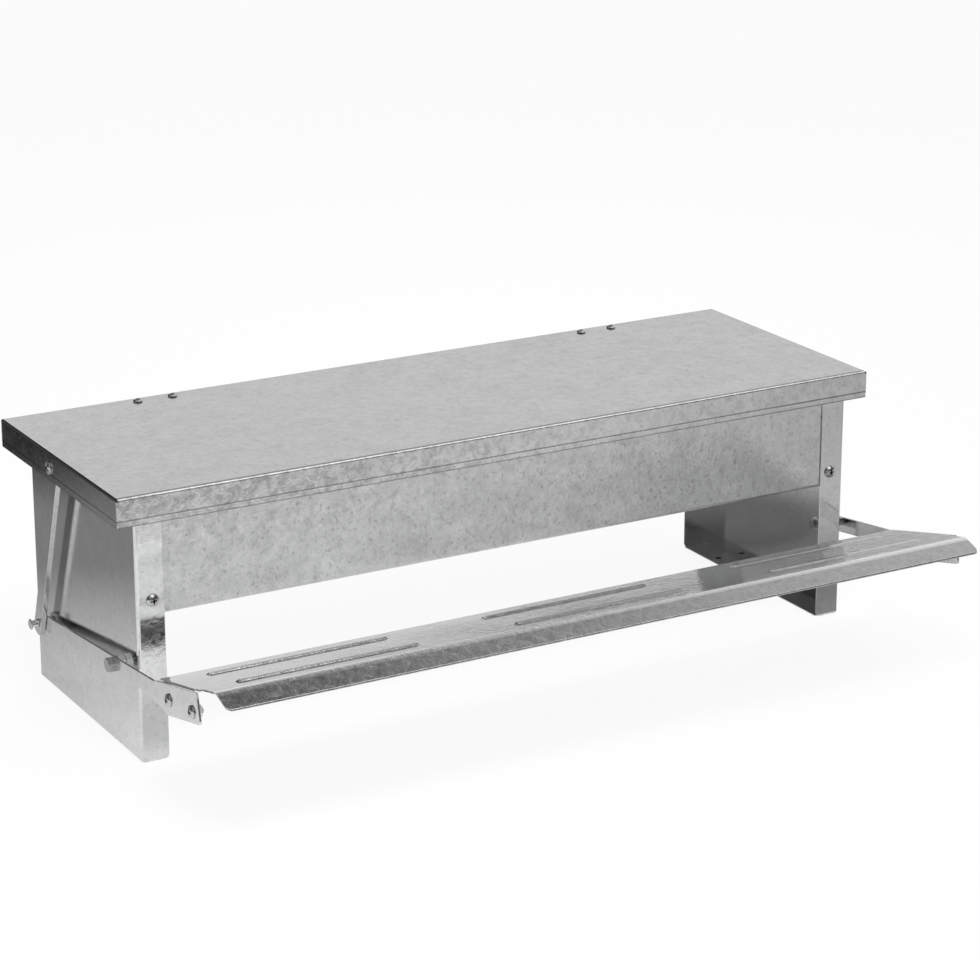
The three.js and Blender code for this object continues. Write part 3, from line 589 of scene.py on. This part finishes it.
def pale_floor():
    """White for the camera and in the metal's reflections, with a share left for the shadow."""
    material = bpy.data.materials.new("floor")
    nodes = Nodes(material)
    path = nodes.add("ShaderNodeLightPath").outputs
    mirrored = nodes.math("MAXIMUM", path["Is Glossy Ray"], path["Is Transmission Ray"])
    share = nodes.math("MAXIMUM", nodes.math("MULTIPLY", path["Is Camera Ray"], FLOOR_SEEN),
                       nodes.math("MULTIPLY", mirrored, FLOOR_MIRRORED))
    matt = nodes.add("ShaderNodeBsdfDiffuse", {"Color": grey(FLOOR_GREY)}).outputs[0]
    glow = nodes.add("ShaderNodeEmission", {"Color": grey(1), "Strength": 1.0}).outputs[0]
    nodes.surface(nodes.add("ShaderNodeMixShader", {0: share, 1: matt, 2: glow}))
    stage_quad("floor", (0, 0, 0), (FLOOR_HALF, FLOOR_HALF), material)


def floor_shade(name, middle, half, core, darkest):
    """A smoked pane just over the floor, darkest in its middle, that only the metal reflects."""
    material = bpy.data.materials.new(name)
    nodes = Nodes(material)
    scaled = nodes.add("ShaderNodeMapping", {
        "Vector": nodes.coordinates("Object"), "Scale": (1 / half[0], 1 / half[1], 1),
    }).outputs[0]
    fade = nodes.add("ShaderNodeTexGradient", {"Vector": scaled}, gradient_type="SPHERICAL")
    level = nodes.spread(fade.outputs["Fac"], 0, 1 - core, 1, darkest)
    nodes.surface(nodes.add("ShaderNodeBsdfTransparent", {"Color": level}))
    quad = stage_quad(name, middle, half, material)
    quad.visible_camera = False
    quad.visible_diffuse = False
    quad.visible_shadow = False


def foot_hole_shades():
    """Dark squares on the floor, seen only through the holes in the feet."""
    material = bpy.data.materials.new("hole_shade")
    nodes = Nodes(material)
    nodes.surface(nodes.add("ShaderNodeBsdfDiffuse", {"Color": grey(HOLE_SHADE_GREY)}))
    for i, (x, y) in enumerate(FOOT_HOLES):
        stage_quad("hole_shade_%d" % (i + 1), (x, y, HOLE_SHADE_HEIGHT),
                   (HOLE_SHADE_HALF, HOLE_SHADE_HALF), material)


def studio_world():
    """A pale room that is unevenly lit, so that the metal has something to reflect."""
    world = bpy.data.worlds.new("studio")
    bpy.context.scene.world = world
    nodes = Nodes(world)
    direction = nodes.coordinates("Generated")
    level = ROOM_BASE
    for middle, inner, outer, strength in ROOM:
        towards = nodes.add("ShaderNodeVectorMath", {
            0: direction, 1: Vector(middle).normalized(),
        }, operation="DOT_PRODUCT").outputs["Value"]
        patch = nodes.spread(towards, math.cos(math.radians(outer)), math.cos(math.radians(inner)),
                             0, strength, kind="SMOOTHSTEP")
        level = nodes.math("ADD", patch, level)
    room = nodes.add("ShaderNodeBackground", {"Color": grey(1), "Strength": level}).outputs[0]
    nodes.add("ShaderNodeOutputWorld", {"Surface": room})


def softbox(name, place, target, side, power):
    """A square lamp that the metal doesn't mirror."""
    data = bpy.data.lights.new(name, "AREA")
    data.shape = "SQUARE"
    data.size = side
    data.energy = power
    data.spread = LAMP_BEAM
    lamp = bpy.data.objects.new(name, data)
    lamp.location = place
    lamp.rotation_mode = "QUATERNION"
    lamp.rotation_quaternion = (Vector(target) - Vector(place)).to_track_quat("-Z", "Y")
    lamp.visible_glossy = False
    bpy.context.scene.collection.objects.link(lamp)


make_camera()
pale_floor()
studio_world()
for i, (place, half, core, darkest) in enumerate(FLOOR_SHADES):
    height = SHADE_HEIGHT + i * SHADE_STEP
    floor_shade("floor_shade_%d" % (i + 1), (*place, height), half, core, darkest)
foot_hole_shades()
for name, settings in LAMPS.items():
    softbox(name, *settings)

lid_sheet = galvanised("lid_sheet", (0.665, 0.668, 0.671), roughness=0.13, edge=0.0008,
                       mottle=0.9, rubbing=1, line_shade=True)
mottled = galvanised("mottled_sheet", (0.655, 0.658, 0.661), roughness=0.18, edge=0.0008,
                     mottle=1.1)
smooth = galvanised("smooth_sheet", (0.70, 0.703, 0.706), roughness=0.085, edge=0.0008,
                    mottle=0.6)
tread = galvanised("tread_sheet", (0.62, 0.623, 0.626), roughness=0.05, edge=0.001,
                   mottle=0.5, rubbing=1, fold_top=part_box("treadle_plate")[1].z)
bright = plated("zinc_plate", (0.72, 0.725, 0.73), roughness=0.07, edge=0.0003)
# Near-black plating on the screws' cross recesses: painted shade in the recess
recess = plated("recess_painted_shade", (0.12, 0.121, 0.122), roughness=0.3, edge=0.0001)
dull = plated("dull_zinc_plate", (0.38, 0.383, 0.386), roughness=0.09, edge=0.0002)
head = plated("screw_plate", (0.52, 0.524, 0.528), roughness=0.06, edge=0.0002)
hinge = plated("hinge_zinc", (0.6, 0.605, 0.61), roughness=0.16, edge=0.0003)
slot_materials = {"galvanised_sheet": smooth, "hinge_steel": hinge, "zinc_fastener": bright}
for part in frame["record"]["subparts"]:
    dress(part["node"], slot_materials[part["material_slot"]])
dress("lid", lid_sheet)
dress("trough", mottled)
dress("treadle_plate", tread)
for side in ("left", "right"):
    dress("pivot_bolt_" + side, dull)
detailed_screws(head, recess)

bpy.context.scene.view_settings.view_transform = "Standard"
